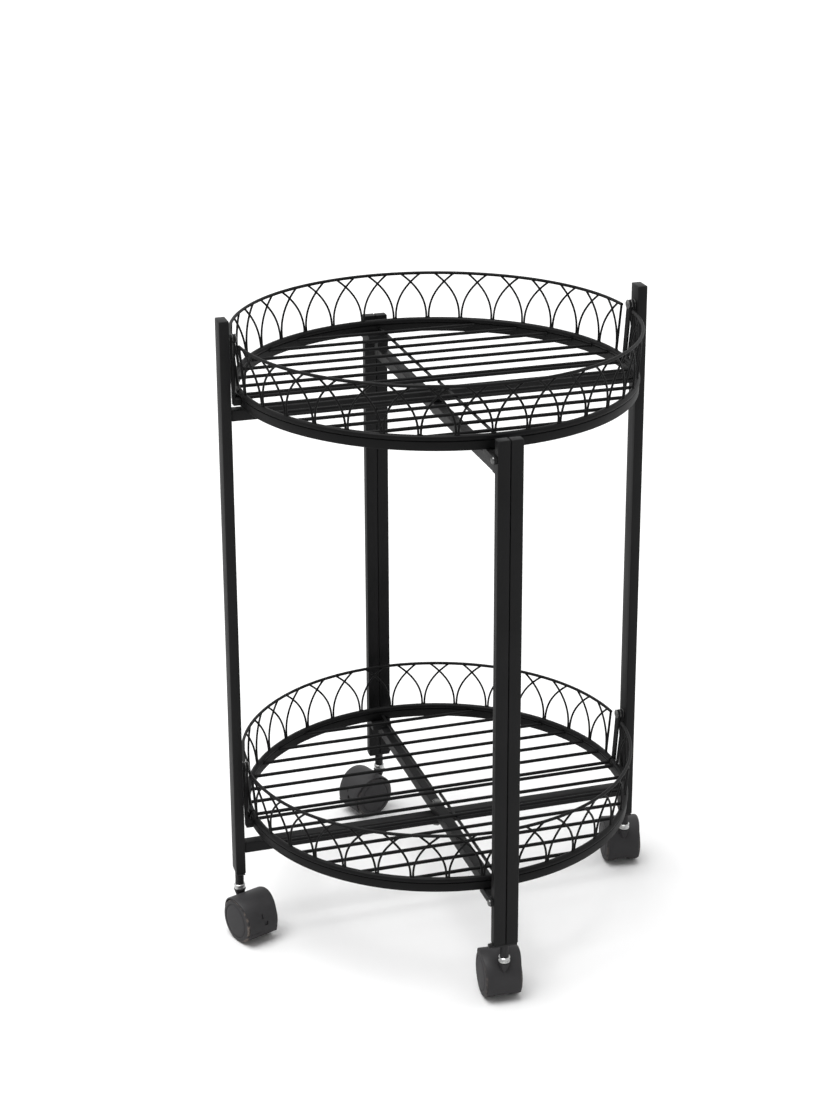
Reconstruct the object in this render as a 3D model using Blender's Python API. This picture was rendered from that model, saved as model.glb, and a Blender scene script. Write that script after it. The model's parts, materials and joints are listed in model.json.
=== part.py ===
"""Round two-tier folding bar cart on four twin-wheel casters.

Two frames cross at the middle: the main frame with the tall left and right legs, and the cross frame with the
front and back legs, which turns inside it. Each tray is two half trays that fold up about the rivets in the tall
legs. +X is to the right, +Y to the back, +Z up, and the origin is on the floor in the middle of the overall box.
"""

import math

import bmesh
import bpy
from mathutils import Matrix, Vector

# Driving dimensions, in metres.
FIT = 0.0003  # gap between two pieces that touch
RUN = 0.0004  # radial clearance of a pin that turns in its hole

RING_R = 0.200  # outer radius of a tray's band
BAND_T = 0.004
BAND_H = 0.009
BEAD_D = 0.006  # rolled bead along the top of the band
BEAD_INSET = 0.002  # centre of the bead inside the band's outer face
LOWER_TRAY_Z = 0.1183  # underside of the band
UPPER_TRAY_Z = 0.5718
HALF_GAP = 0.0012  # from the middle plane to each half band

ROD_D = 0.0036
RODS = 7
ROD_FIRST = 0.0047  # first rod's distance from the middle plane
ROD_SPREAD = 0.1385  # distance between rods, in ring radii
ROD_RISE = 0.008  # rod centre above the underside of the band
STRIP_W = 0.0028
STRIP_T = 0.0016
STRIP_X = {"lower": -0.0022, "upper": -0.001}

FENCE_H = 0.0475  # top of the bead to the top wire's centre
FENCE_T = 0.002
FENCE_FLARE = 0.0045
ARCH_D = 0.0022
TOP_WIRE_D = 0.0033
POST_D = 0.0026
ARCHES = 17  # arches in each half fence
ARCH_REACH = 0.8  # how far an arch leans over, in pitches
ARCH_POWER = 2.3
FOOT_HALF = 0.00125  # half the spacing of the two wires of a foot
FENCE_END = math.radians(4.5)

PIVOT_RISE = 0.004  # hinge axis above the top wire's centre
ARM_W = 0.008
ARM_T = 0.002
ARM_EYE_R = 0.0045
ARM_RISE = 0.003  # underside of the band to the end of an arm
ARM_LEAN = 0.0085  # foot's distance from the hinge axis, along Y
COLLAR_T = 0.0008
RIVET_D = 0.0044
RIVET_COLLAR_D = 0.0095
RIVET_HEAD_T = 0.0018
RIVET_TAIL_T = 0.0012
RIVET_TAIL_D = 0.0062

TUBE_WALL = 0.0012
LEG_RISE = 0.020  # top of the tall legs above the upper hinge axis
MAIN_LEG_T = 0.010  # along X
MAIN_LEG_W = 0.019  # along Y
CROSS_TUBE_W = 0.0122  # along X, one of the two tubes
CROSS_TUBE_T = 0.010  # along Y
SEAM = 0.0006
RIM_CLEAR = 0.0028  # between a rising half tray and the front and back legs

MAIN_BAR_W = 0.012
MAIN_BAR_H = 0.0114
CROSS_BAR_W = 0.011
CROSS_BAR_H = 0.0104
BAR_CLEAR = 0.0005  # between the two bars of a crossing
UPPER_BAR_DROP = 0.0036  # underside of the upper tray to its main bar
LOWER_BAR_DROP = 0.007  # underside of the lower tray to its cross bar
PIVOT_BOLT_D = 0.006
PIVOT_HEAD_D = 0.0105
PIVOT_HEAD_T = 0.0024

YOKE_T = 0.0025
YOKE_BLOCK = 0.0125  # along Y, under the band
YOKE_LOBE_R = 0.004
YOKE_BOLT_DROP = 0.0042  # underside of the tray to the bolt
YOKE_BOLT_D = 0.0044
YOKE_HEAD_D = 0.007
YOKE_HEAD_T = 0.002
YOKE_NUT_T = 0.0024
YOKE_LAP = 0.0003  # how far one block of a yoke stands proud of the next

PLUG_T = 0.002
PLUG_INSET = 0.0008
PLUG_PRONG = 0.014
NECK_D = 0.009
STUD_D = 0.005
STUD_LENGTH = 0.0037

WHEEL_R = 0.023
WHEEL_INNER = 0.006  # from the caster's middle to the wheel's inner face
WHEEL_OUTER = 0.0188
WHEEL_CROWN = 0.0009
WHEEL_EDGE = 0.0015
WHEEL_BORE_END = 0.0165
AXLE_D = 0.0043
AXLE_HALF = 0.016
TRAIL = 0.020
HOOD_WALL = 0.0016
HOOD_AIR = 0.0007
HOOD_HALF = 0.020
HOOD_HEM = 0.0104  # lowest edge of the hood above the floor
WEB_HALF = 0.0042
BOSS_D = 0.0125
BOSS_RISE = 0.0024  # top of the boss above the hood at the edge of the collar
STEM_PIN_D = 0.0045
STEM_SHAFT_D = 0.006
STEM_FOOT_RISE = 0.009  # foot of the stem above the axle
COLLAR_D = 0.0115
COLLAR_H = 0.0057
PIN_LENGTH = 0.0111
NECK_LENGTH = 0.0152  # top of the collar to the end of the leg

# The casters' swivel moves the middle of the overall box off the pivot bolts.
PIVOT_X = -0.0032
PIVOT_Y = -0.0071

# Swivel of each caster, as the direction in which its wheels trail.
TRAILS = {"left": 290.0, "front": 85.0, "right": 80.5, "back": 200.5}

# Worked out from the driving dimensions.
RING_H = BAND_H + BEAD_D
PIVOT_H = RING_H + FENCE_H + PIVOT_RISE  # hinge axis above the underside of the tray
BEAD_R = RING_R - BEAD_INSET
ROD_PITCH = ROD_SPREAD * RING_R
ARM_FIRST = RING_R + 0.0025  # inner face of the arm nearest the tray
ARM_STEP = ARM_T + COLLAR_T + 2 * FIT
LEG_INNER_X = ARM_FIRST + 2 * ARM_STEP
MAIN_LEG_X = LEG_INNER_X + MAIN_LEG_T / 2
MAIN_LEG_TOP = UPPER_TRAY_Z + PIVOT_H + LEG_RISE
CROSS_INNER_Y = math.hypot(RING_R, PIVOT_H) + RIM_CLEAR
CROSS_LEG_Y = CROSS_INNER_Y + CROSS_TUBE_T / 2
CROSS_HALF_W = SEAM / 2 + CROSS_TUBE_W
UPPER_MAIN_BAR_Z = UPPER_TRAY_Z - UPPER_BAR_DROP - MAIN_BAR_H
UPPER_CROSS_BAR_Z = UPPER_MAIN_BAR_Z - BAR_CLEAR - CROSS_BAR_H
LOWER_CROSS_BAR_Z = LOWER_TRAY_Z - LOWER_BAR_DROP - CROSS_BAR_H
LOWER_MAIN_BAR_Z = LOWER_CROSS_BAR_Z - BAR_CLEAR - MAIN_BAR_H
YOKE_INNER_X = CROSS_HALF_W + FIT
YOKE_OUTER_X = YOKE_INNER_X + YOKE_T
YOKE_BLOCK_Y = RING_R + 0.0005 - YOKE_BLOCK
YOKE_NUT_X = SEAM / 2 + TUBE_WALL + FIT
YOKE_NUT_D = CROSS_TUBE_T - 2 * TUBE_WALL - 2 * FIT
HOOD_R = WHEEL_R + HOOD_AIR + HOOD_WALL
BOSS_TOP = WHEEL_R + math.sqrt(HOOD_R**2 - (TRAIL - COLLAR_D / 2) ** 2) + BOSS_RISE
COLLAR_TOP = BOSS_TOP + FIT + COLLAR_H
PIN_TOP = COLLAR_TOP + PIN_LENGTH
STEM_FOOT = WHEEL_R + STEM_FOOT_RISE
LEG_BOTTOM = COLLAR_TOP + NECK_LENGTH

TRAYS = {"lower": LOWER_TRAY_Z, "upper": UPPER_TRAY_Z}
SIDES = {"left": -1, "right": 1}
HALVES = {"front": -1, "back": 1}


def clear_scene():
    for old in list(bpy.data.objects):
        bpy.data.objects.remove(old, do_unlink=True)


def make_material(name, colour, roughness, metallic):
    made = bpy.data.materials.new(name)
    made.use_nodes = True
    shader = made.node_tree.nodes["Principled BSDF"]
    shader.inputs["Base Color"].default_value = (*colour, 1.0)
    shader.inputs["Roughness"].default_value = roughness
    shader.inputs["Metallic"].default_value = metallic
    return made


def black_steel(name):
    return make_material(f"{name}_black_powder_coat", (0.017, 0.017, 0.018), 0.42, 0.0)


def black_plastic(name):
    return make_material(f"{name}_black_plastic", (0.03, 0.03, 0.032), 0.5, 0.0)


def zinc(name):
    return make_material(f"{name}_zinc_plate", (0.62, 0.62, 0.6), 0.3, 1.0)


def place(name, mesh, finish, parent=None, location=(0, 0, 0), turn=0.0):
    piece = bpy.data.objects.new(name, mesh)
    bpy.context.scene.collection.objects.link(piece)
    piece.parent = parent
    piece.location = location
    piece.rotation_euler = (0, 0, turn)
    piece.data.materials.clear()
    piece.data.materials.append(finish(name))
    return piece


def make_empty(name, parent=None, location=(0, 0, 0), turn=0.0):
    holder = bpy.data.objects.new(name, None)
    bpy.context.scene.collection.objects.link(holder)
    holder.parent = parent
    holder.location = location
    holder.rotation_euler = (0, 0, turn)
    return holder


def to_mesh(bm, name):
    bmesh.ops.recalc_face_normals(bm, faces=bm.faces)
    if bm.calc_volume(signed=True) < 0:
        bmesh.ops.reverse_faces(bm, faces=bm.faces)
    mesh = bpy.data.meshes.new(name)
    bm.to_mesh(mesh)
    bm.free()
    return mesh


def add_box(bm, low, high):
    size = Vector(high) - Vector(low)
    middle = (Vector(high) + Vector(low)) / 2
    where = Matrix.Translation(middle) @ Matrix.Diagonal((*size, 1.0))
    bmesh.ops.create_cube(bm, size=1.0, matrix=where)


def box_mesh(name, low, high):
    bm = bmesh.new()
    add_box(bm, low, high)
    return to_mesh(bm, name)


def rod_matrix(axis):
    """Turns a cone made along Z to lie along the given axis."""
    if axis == "X":
        return Matrix.Rotation(math.pi / 2, 4, "Y")
    if axis == "Y":
        return Matrix.Rotation(-math.pi / 2, 4, "X")
    return Matrix.Identity(4)


def add_rod(bm, middle, diameter, length, axis="Z", sides=12):
    bmesh.ops.create_cone(
        bm, cap_ends=True, cap_tris=False, segments=sides, radius1=diameter / 2, radius2=diameter / 2,
        depth=length, matrix=Matrix.Translation(middle) @ rod_matrix(axis),
    )


def rod_mesh(name, middle, diameter, length, axis="Z", sides=12):
    bm = bmesh.new()
    add_rod(bm, middle, diameter, length, axis, sides)
    return to_mesh(bm, name)


def turned_mesh(name, profile, sides, axis="Z"):
    """Spins (radius, height) points round an axis: the profile starts and ends on it."""
    bm = bmesh.new()
    corners = [bm.verts.new((radius, 0, height)) for radius, height in profile]
    edges = [bm.edges.new(pair) for pair in zip(corners, corners[1:])]
    bmesh.ops.spin(
        bm, geom=corners + edges, cent=(0, 0, 0), axis=(0, 0, 1), angle=2 * math.pi, steps=sides, use_merge=True
    )
    bmesh.ops.remove_doubles(bm, verts=bm.verts, dist=1e-6)
    bmesh.ops.transform(bm, matrix=rod_matrix(axis), verts=bm.verts)
    mesh = to_mesh(bm, name)
    mesh.shade_smooth()
    mesh.set_sharp_from_angle(angle=math.radians(40))
    return mesh


def prism_mesh(name, outline, low, high, axis):
    """Extrudes an outline along X or Y: its points are (Y, Z) or (X, Z)."""
    bm = bmesh.new()
    if axis == "X":
        corners = [bm.verts.new((low, a, b)) for a, b in outline]
        step = Vector((high - low, 0, 0))
    else:
        corners = [bm.verts.new((a, low, b)) for a, b in outline]
        step = Vector((0, high - low, 0))
    face = bm.faces.new(corners)
    grown = bmesh.ops.extrude_face_region(bm, geom=[face])["geom"]
    moved = [item for item in grown if isinstance(item, bmesh.types.BMVert)]
    bmesh.ops.translate(bm, verts=moved, vec=step)
    return to_mesh(bm, name)


def cut(piece, mesh, operation="DIFFERENCE"):
    """Adds a Boolean whose tool is a hidden guide in the piece's own space."""
    guide = bpy.data.objects.new(f"{piece.name}_guide_{len(piece.modifiers)}", mesh)
    bpy.context.scene.collection.objects.link(guide)
    guide.parent = piece
    guide.hide_render = True
    guide.display_type = "WIRE"
    modifier = piece.modifiers.new(operation.lower(), "BOOLEAN")
    modifier.operation = operation
    modifier.solver = "EXACT"
    modifier.object = guide


def arc_points(middle, radius, start, end, steps):
    return [
        (
            middle[0] + radius * math.cos(start + (end - start) * i / steps),
            middle[1] + radius * math.sin(start + (end - start) * i / steps),
        )
        for i in range(steps + 1)
    ]


# --- The main frame: tall left and right legs and the two bars between them ---


def tube_mesh(name, half_x, half_y, bottom, top):
    """A tube closed at the top and open at the bottom."""
    bm = bmesh.new()
    add_box(bm, (-half_x, -half_y, bottom), (half_x, half_y, top))
    floor = min(bm.faces, key=lambda face: face.calc_center_median().z)
    bmesh.ops.inset_region(bm, faces=[floor], thickness=TUBE_WALL, use_even_offset=True)
    floor = min(bm.faces, key=lambda face: (face.calc_center_median().z, face.calc_area()))
    inner = [face for face in bm.faces if all(v.co.z < bottom + 1e-6 for v in face.verts)]
    inner = min(inner, key=lambda face: face.calc_center_median().xy.length)
    grown = bmesh.ops.extrude_face_region(bm, geom=[inner])["geom"]
    bmesh.ops.delete(bm, geom=[inner], context="FACES_ONLY")
    moved = [item for item in grown if isinstance(item, bmesh.types.BMVert)]
    bmesh.ops.translate(bm, verts=moved, vec=(0, 0, top - TUBE_WALL - bottom))
    return to_mesh(bm, name)


def make_main_frame(cart):
    for side, sign in SIDES.items():
        mesh = tube_mesh("main_leg", MAIN_LEG_T / 2, MAIN_LEG_W / 2, LEG_BOTTOM, MAIN_LEG_TOP)
        leg = place(f"main_leg_{side}", mesh, black_steel, cart, (sign * MAIN_LEG_X, 0, 0))
        for tray_z in TRAYS.values():
            hole = rod_mesh(
                "rivet_hole",
                (-sign * MAIN_LEG_T / 2, 0, tray_z + PIVOT_H),
                RIVET_D + 2 * RUN,
                MAIN_LEG_T / 2,
                "X",
            )
            cut(leg, hole)
    half = LEG_INNER_X - FIT
    for tier, bottom in (("lower", LOWER_MAIN_BAR_Z), ("upper", UPPER_MAIN_BAR_Z)):
        low = (-half, -MAIN_BAR_W / 2, bottom)
        high = (half, MAIN_BAR_W / 2, bottom + MAIN_BAR_H)
        bar = place(f"main_bar_{tier}", box_mesh("main_bar", low, high), black_steel, cart)
        cut(bar, rod_mesh("pivot_hole", (0, 0, bottom + MAIN_BAR_H / 2), PIVOT_BOLT_D + 2 * RUN, 2 * MAIN_BAR_H))


# --- The cross frame: front and back legs of two tubes, and its two bars with their yokes ---


def yoke_outline(sign, tray_z):
    """The cheek of a yoke: from the flange under the band out to the lobe round the bolt."""
    bolt = (sign * CROSS_LEG_Y, tray_z - YOKE_BOLT_DROP)
    start, end = (math.radians(48), -math.pi / 2) if sign > 0 else (math.radians(132), 3 * math.pi / 2)
    lobe = arc_points(bolt, YOKE_LOBE_R, start, end, 6)
    inner = sign * YOKE_BLOCK_Y
    top = tray_z - FIT
    return [(inner, top)] + lobe + [(inner, tray_z - YOKE_BOLT_DROP - YOKE_LOBE_R)]


def make_cross_bar(tier, tray_z, bar_z, frame):
    """A bar with a yoke at each end: a post, a flange under the band and a cheek beside the leg."""
    low = (-CROSS_BAR_W / 2, -YOKE_BLOCK_Y - FIT, bar_z)
    high = (CROSS_BAR_W / 2, YOKE_BLOCK_Y + FIT, bar_z + CROSS_BAR_H)
    bar = place(f"cross_bar_{tier}", box_mesh("cross_bar", low, high), black_steel, frame)
    post_x = CROSS_BAR_W / 2 + YOKE_LAP
    flange_x = post_x + YOKE_LAP
    for sign in HALVES.values():
        near, far = YOKE_BLOCK_Y - YOKE_LAP, YOKE_BLOCK_Y + YOKE_BLOCK - YOKE_LAP
        low = (-post_x, min(sign * near, sign * far), bar_z - YOKE_LAP)
        high = (post_x, max(sign * near, sign * far), tray_z - YOKE_BOLT_DROP)
        cut(bar, box_mesh("post", low, high), "UNION")
        cut(bar, prism_mesh("cheek", yoke_outline(sign, tray_z), -YOKE_OUTER_X, flange_x, "X"), "UNION")
        low = (-YOKE_INNER_X, min(sign * (far + YOKE_LAP), sign * 2 * CROSS_LEG_Y), bar_z - CROSS_BAR_H)
        high = (2 * flange_x, max(sign * (far + YOKE_LAP), sign * 2 * CROSS_LEG_Y), tray_z + CROSS_BAR_H)
        cut(bar, box_mesh("slot", low, high))
        middle = (-YOKE_OUTER_X, sign * CROSS_LEG_Y, tray_z - YOKE_BOLT_DROP)
        cut(bar, rod_mesh("yoke_hole", middle, YOKE_BOLT_D + 2 * RUN, 4 * YOKE_T, "X"))
    cut(bar, rod_mesh("pivot_hole", (0, 0, bar_z + CROSS_BAR_H / 2), PIVOT_BOLT_D + 2 * RUN, 2 * CROSS_BAR_H))


def make_yoke_bolt(tier, end, sign, tray_z, frame):
    """Head outside the cheek, nut inside the further of the leg's two tubes."""
    head = -YOKE_OUTER_X - FIT
    profile = [
        (0, head - YOKE_HEAD_T),
        (YOKE_HEAD_D / 2, head - YOKE_HEAD_T),
        (YOKE_HEAD_D / 2, head),
        (YOKE_BOLT_D / 2, head),
        (YOKE_BOLT_D / 2, YOKE_NUT_X),
        (YOKE_NUT_D / 2, YOKE_NUT_X),
        (YOKE_NUT_D / 2, YOKE_NUT_X + YOKE_NUT_T),
        (0, YOKE_NUT_X + YOKE_NUT_T),
    ]
    where = (0, sign * CROSS_LEG_Y, tray_z - YOKE_BOLT_DROP)
    place(f"yoke_bolt_{end}_{tier}", turned_mesh("yoke_bolt", profile, 12, "X"), zinc, frame, where)


def make_cross_leg(end, sign, frame):
    top = UPPER_TRAY_Z + RING_H
    for side, way in SIDES.items():
        where = (way * (SEAM / 2 + CROSS_TUBE_W / 2), sign * CROSS_LEG_Y, 0)
        mesh = tube_mesh("cross_leg", CROSS_TUBE_W / 2, CROSS_TUBE_T / 2, LEG_BOTTOM, top)
        tube = place(f"cross_leg_{end}_{side}", mesh, black_steel, frame, where)
        for tray_z in TRAYS.values():
            reach = 2 * CROSS_TUBE_W if way < 0 else 2 * TUBE_WALL + 2 * FIT
            middle = (0 if way < 0 else -CROSS_TUBE_W / 2, 0, tray_z - YOKE_BOLT_DROP)
            cut(tube, rod_mesh("bolt_hole", middle, YOKE_BOLT_D + 2 * RUN, reach, "X"))


def make_pivot_bolt(tier, bottom, top, cart):
    """Head on top of the upper bar of a crossing, nut under the lower one."""
    nut = bottom - FIT
    head = top + FIT
    profile = [
        (0, nut - PIVOT_HEAD_T),
        (PIVOT_HEAD_D / 2, nut - PIVOT_HEAD_T),
        (PIVOT_HEAD_D / 2, nut),
        (PIVOT_BOLT_D / 2, nut),
        (PIVOT_BOLT_D / 2, head),
        (PIVOT_HEAD_D / 2, head),
        (PIVOT_HEAD_D / 2, head + PIVOT_HEAD_T),
        (0, head + PIVOT_HEAD_T),
    ]
    place(f"pivot_bolt_{tier}", turned_mesh("pivot_bolt", profile, 12), zinc, cart)


def make_cross_frame(cart):
    frame = make_empty("cross_frame_axis", cart)
    make_cross_bar("lower", LOWER_TRAY_Z, LOWER_CROSS_BAR_Z, frame)
    make_cross_bar("upper", UPPER_TRAY_Z, UPPER_CROSS_BAR_Z, frame)
    for end, sign in HALVES.items():
        make_cross_leg(end, sign, frame)
        for tier, tray_z in TRAYS.items():
            make_yoke_bolt(tier, end, sign, tray_z, frame)
    make_pivot_bolt("lower", LOWER_MAIN_BAR_Z, LOWER_CROSS_BAR_Z + CROSS_BAR_H, cart)
    make_pivot_bolt("upper", UPPER_CROSS_BAR_Z, UPPER_MAIN_BAR_Z + MAIN_BAR_H, cart)
    return frame


# --- A half tray: base, fence and two arms, modelled for the back half and turned round for the front ---


def band_mesh(pivot_h):
    """Half a ring of flat band with a rolled bead on top, about the hinge axis's height."""
    bead = arc_points((BEAD_R, BAND_H + BEAD_D / 2), BEAD_D / 2, -math.pi / 4, 5 * math.pi / 4, 6)
    outline = [(RING_R - BAND_T, 0), (RING_R, 0)] + bead
    start = math.asin(HALF_GAP / (RING_R - BAND_T))
    bm = bmesh.new()
    corners = [bm.verts.new((radius, 0, height - pivot_h)) for radius, height in outline]
    face = bm.faces.new(corners)
    bmesh.ops.rotate(bm, cent=(0, 0, 0), matrix=Matrix.Rotation(start, 3, "Z"), verts=bm.verts)
    bmesh.ops.spin(
        bm, geom=[face], cent=(0, 0, 0), axis=(0, 0, 1), angle=math.pi - 2 * start, steps=26, use_merge=False
    )
    return to_mesh(bm, "band")


def rods_mesh(pivot_h):
    bm = bmesh.new()
    middle_r = RING_R - BAND_T / 2
    height = ROD_RISE - pivot_h
    for i in range(RODS):
        y = ROD_FIRST + i * ROD_PITCH
        half = math.sqrt(middle_r**2 - y**2)
        add_box(bm, (-half, y - ROD_D / 2, height - ROD_D / 2), (half, y + ROD_D / 2, height + ROD_D / 2))
    return to_mesh(bm, "rods")


def strip_mesh(pivot_h, middle):
    top = ROD_RISE - ROD_D / 2 + STRIP_T / 5 - pivot_h
    low = (middle - STRIP_W / 2, ROD_FIRST, top - STRIP_T)
    high = (middle + STRIP_W / 2, RING_R - BAND_T / 2, top)
    return box_mesh("strip", low, high)


def arch_edge(offset, pitch, count=240):
    """(x, z) of an arch wire's edge: the wire's curve moved by the offset along its normal."""
    lean = ARCH_REACH * pitch - FOOT_HALF
    points = []
    for i in range(count + 1):
        h = i / count
        slope = lean * ARCH_POWER * max(h, 1e-6) ** (ARCH_POWER - 1) / FENCE_H
        length = math.hypot(1, slope)
        x = FOOT_HALF + lean * h**ARCH_POWER + offset / length
        points.append((x, h * FENCE_H - offset * slope / length))
    return points


def at_height(points, z):
    for (x0, z0), (x1, z1) in zip(points, points[1:]):
        if z0 <= z <= z1:
            return x0 + (x1 - x0) * (z - z0) / (z1 - z0)
    return points[-1][0] if z > points[-1][1] else points[0][0]


def find_height(test, low, high):
    """The height at which test turns from False to True."""
    for _ in range(40):
        middle = (low + high) / 2
        if test(middle):
            high = middle
        else:
            low = middle
    return high


def fence_loops(pitch, first, last):
    """The outline and the holes of one pitch of the flat fence, from foot to foot; an end pitch holds a post."""
    under = arch_edge(ARCH_D / 2, pitch)
    over = arch_edge(-ARCH_D / 2, pitch)
    top = FENCE_H + TOP_WIRE_D / 2
    sill = FENCE_H - TOP_WIRE_D / 2
    middle = pitch / 2
    post = POST_D / 2
    window_top = find_height(lambda z: at_height(under, z) > middle, 0, FENCE_H)
    beak = find_height(lambda z: at_height(over, z) > middle, 0, FENCE_H)
    corner = find_height(lambda z: at_height(over, z) > pitch - at_height(under, z), 0, FENCE_H)
    split = find_height(lambda z: at_height(over, z) > ARCH_D / 4, 0, FENCE_H)
    post_split = find_height(lambda z: at_height(over, z) > post + ARCH_D / 4, 0, FENCE_H)
    flank = [(at_height(over, z), z) for z in (0.55 * corner, corner)]
    flank += [(pitch - at_height(under, sill), sill)]
    foot = [(at_height(under, z), z) for z in (0, 0.45 * window_top, 0.75 * window_top)]
    holes = [[(middle, beak), (at_height(over, sill), sill), (pitch - at_height(over, sill), sill)]]
    outline = []
    for at_end, side, way in ((first, 0, 1), (last, pitch, -1)):
        if at_end:
            edge = [(-post, top), (-post, 0)]
            holes.append([(side + way * x, z) for x, z in [(post, post_split)] + flank + [(post, sill)]])
        else:
            edge = [(0, top), (0, sill)] + flank[::-1] + [(at_height(over, split), split), (0, split), (0, 0)]
        edge = [(side + way * x, z) for x, z in edge + foot]
        outline += edge[::way]
        if way > 0:
            outline.append((middle, window_top))
    return [outline] + holes


def fence_mesh(pivot_h):
    """Flat pitches are filled and joined in a row, thickened, bent round the band and flared outwards."""
    pitch = (math.pi - 2 * FENCE_END) * BEAD_R / ARCHES
    bm = bmesh.new()
    for i in range(ARCHES):
        edges = []
        for loop in fence_loops(pitch, i == 0, i == ARCHES - 1):
            corners = [bm.verts.new((i * pitch + x, z, -FENCE_T / 2)) for x, z in loop]
            edges += [bm.edges.new(pair) for pair in zip(corners, corners[1:] + corners[:1])]
        bmesh.ops.triangle_fill(bm, use_beauty=True, use_dissolve=False, edges=edges)
    bmesh.ops.remove_doubles(bm, verts=bm.verts, dist=1e-6)
    grown = bmesh.ops.extrude_face_region(bm, geom=list(bm.faces))["geom"]
    moved = [item for item in grown if isinstance(item, bmesh.types.BMVert)]
    bmesh.ops.translate(bm, verts=moved, vec=(0, 0, FENCE_T))
    base = RING_H + FIT - pivot_h
    for vert in bm.verts:
        along, height, depth = vert.co
        angle = FENCE_END + along / BEAD_R
        radius = BEAD_R + depth + FENCE_FLARE * height / FENCE_H
        vert.co = (radius * math.cos(angle), radius * math.sin(angle), base + height)
    return to_mesh(bm, "fence")


def arm_outline(pivot_h):
    """(Y, Z) of an arm about the hinge: its eye, and a straight strap down to the foot beside the band."""
    half = ARM_W / 2
    eye = arc_points((0, 0), ARM_EYE_R, math.radians(-20), math.radians(200), 8)
    bend = BAND_H - pivot_h
    end = ARM_RISE - pivot_h
    foot = [
        (ARM_LEAN - half, bend),
        (ARM_LEAN - half, end),
        (ARM_LEAN + half, end),
        (ARM_LEAN + half, bend),
    ]
    return eye + foot


def make_arm(name, way, layer, holder, pivot_h):
    """An arm on one side: the first layer is next to the tray, the second next to the leg."""
    inner = ARM_FIRST + layer * ARM_STEP
    low, high = sorted((way * inner, way * (inner + ARM_T)))
    arm = place(name, prism_mesh("arm", arm_outline(pivot_h), low, high, "X"), black_steel, holder)
    tip, seat = sorted((way * (RING_R + FIT), way * (inner + ARM_T / 2)))
    low = (tip, ARM_LEAN - ARM_W / 2, ARM_RISE - pivot_h)
    high = (seat, ARM_LEAN + ARM_W / 2, BAND_H - FIT - pivot_h)
    cut(arm, box_mesh("foot", low, high), "UNION")
    cut(arm, rod_mesh("eye_hole", (way * inner, 0, 0), RIVET_D + 2 * RUN, 4 * ARM_T, "X"))


def make_half_tray(tier, tray_z, half, sign, cart):
    turn = 0.0 if sign > 0 else math.pi
    holder = make_empty(f"tray_{tier}_{half}_axis", cart, (0, 0, tray_z + PIVOT_H), turn)
    base = place(f"tray_{tier}_{half}_base", band_mesh(PIVOT_H), black_steel, holder)
    cut(base, rods_mesh(PIVOT_H), "UNION")
    cut(base, strip_mesh(PIVOT_H, STRIP_X[tier]), "UNION")
    place(f"tray_{tier}_{half}_fence", fence_mesh(PIVOT_H), black_steel, holder)
    layer = 0 if sign > 0 else 1
    for side, way in SIDES.items():
        make_arm(f"tray_{tier}_{half}_arm_{side}", way * sign, layer, holder, PIVOT_H)


def make_hinge_rivet(tier, tray_z, side, way, cart):
    """A rivet with a head, two swaged collars between the arms, and a tail inside the leg."""
    wall = LEG_INNER_X
    tail = wall + TUBE_WALL + FIT
    first = wall - FIT - COLLAR_T
    second = first - ARM_STEP
    head = second - ARM_STEP + COLLAR_T - RIVET_HEAD_T
    thin = RIVET_D / 2
    wide = RIVET_COLLAR_D / 2
    profile = [
        (0, head),
        (wide * 0.7, head),
        (wide, head + RIVET_HEAD_T / 2),
        (wide, head + RIVET_HEAD_T),
        (thin, head + RIVET_HEAD_T),
        (thin, second),
        (wide, second),
        (wide, second + COLLAR_T),
        (thin, second + COLLAR_T),
        (thin, first),
        (wide, first),
        (wide, first + COLLAR_T),
        (thin, first + COLLAR_T),
        (thin, tail),
        (RIVET_TAIL_D / 2, tail),
        (RIVET_TAIL_D / 2, tail + RIVET_TAIL_T),
        (0, tail + RIVET_TAIL_T),
    ]
    mesh = turned_mesh("hinge_rivet", profile, 12, "X")
    turn = 0.0 if way > 0 else math.pi
    place(f"hinge_rivet_{tier}_{side}", mesh, zinc, cart, (0, 0, tray_z + PIVOT_H), turn)


def make_trays(cart):
    for tier, tray_z in TRAYS.items():
        for half, sign in HALVES.items():
            make_half_tray(tier, tray_z, half, sign, cart)
        for side, way in SIDES.items():
            make_hinge_rivet(tier, tray_z, side, way, cart)


# --- Casters ---


def make_socket(name, parent, where, half_x, half_y, prongs, studded):
    """The plug in the end of a leg, with the neck that takes the caster's pin."""
    plate_low = LEG_BOTTOM - FIT - PLUG_T
    plate_high = LEG_BOTTOM - FIT
    out = half_x + (0.0008 if studded else -PLUG_INSET)
    low = (-out, PLUG_INSET - half_y, plate_low)
    plate = box_mesh("plate", low, (half_x - PLUG_INSET, half_y - PLUG_INSET, plate_high))
    socket = place(name, plate, black_plastic, parent, where)
    bm = bmesh.new()
    for x, prong_half in prongs:
        low = (x - prong_half, -half_y + TUBE_WALL + FIT, plate_high - PLUG_T / 2)
        high = (x + prong_half, half_y - TUBE_WALL - FIT, plate_high + PLUG_PRONG)
        add_box(bm, low, high)
    cut(socket, to_mesh(bm, "prongs"), "UNION")
    neck_low = COLLAR_TOP + FIT
    neck_high = plate_low + PLUG_T / 2
    middle = (neck_low + neck_high) / 2
    cut(socket, rod_mesh("neck", (0, 0, middle), NECK_D, neck_high - neck_low), "UNION")
    if studded:
        x = -half_x - FIT - STUD_LENGTH / 2
        cut(socket, rod_mesh("stud", (x, 0, plate_low + PLUG_T / 2), STUD_D, STUD_LENGTH, "X", 8), "UNION")
    bore_top = PIN_TOP + 2 * FIT
    depth = 2 * (bore_top - neck_low)
    cut(socket, rod_mesh("bore", (0, 0, bore_top - depth / 2), STEM_PIN_D + 2 * RUN, depth))


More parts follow.
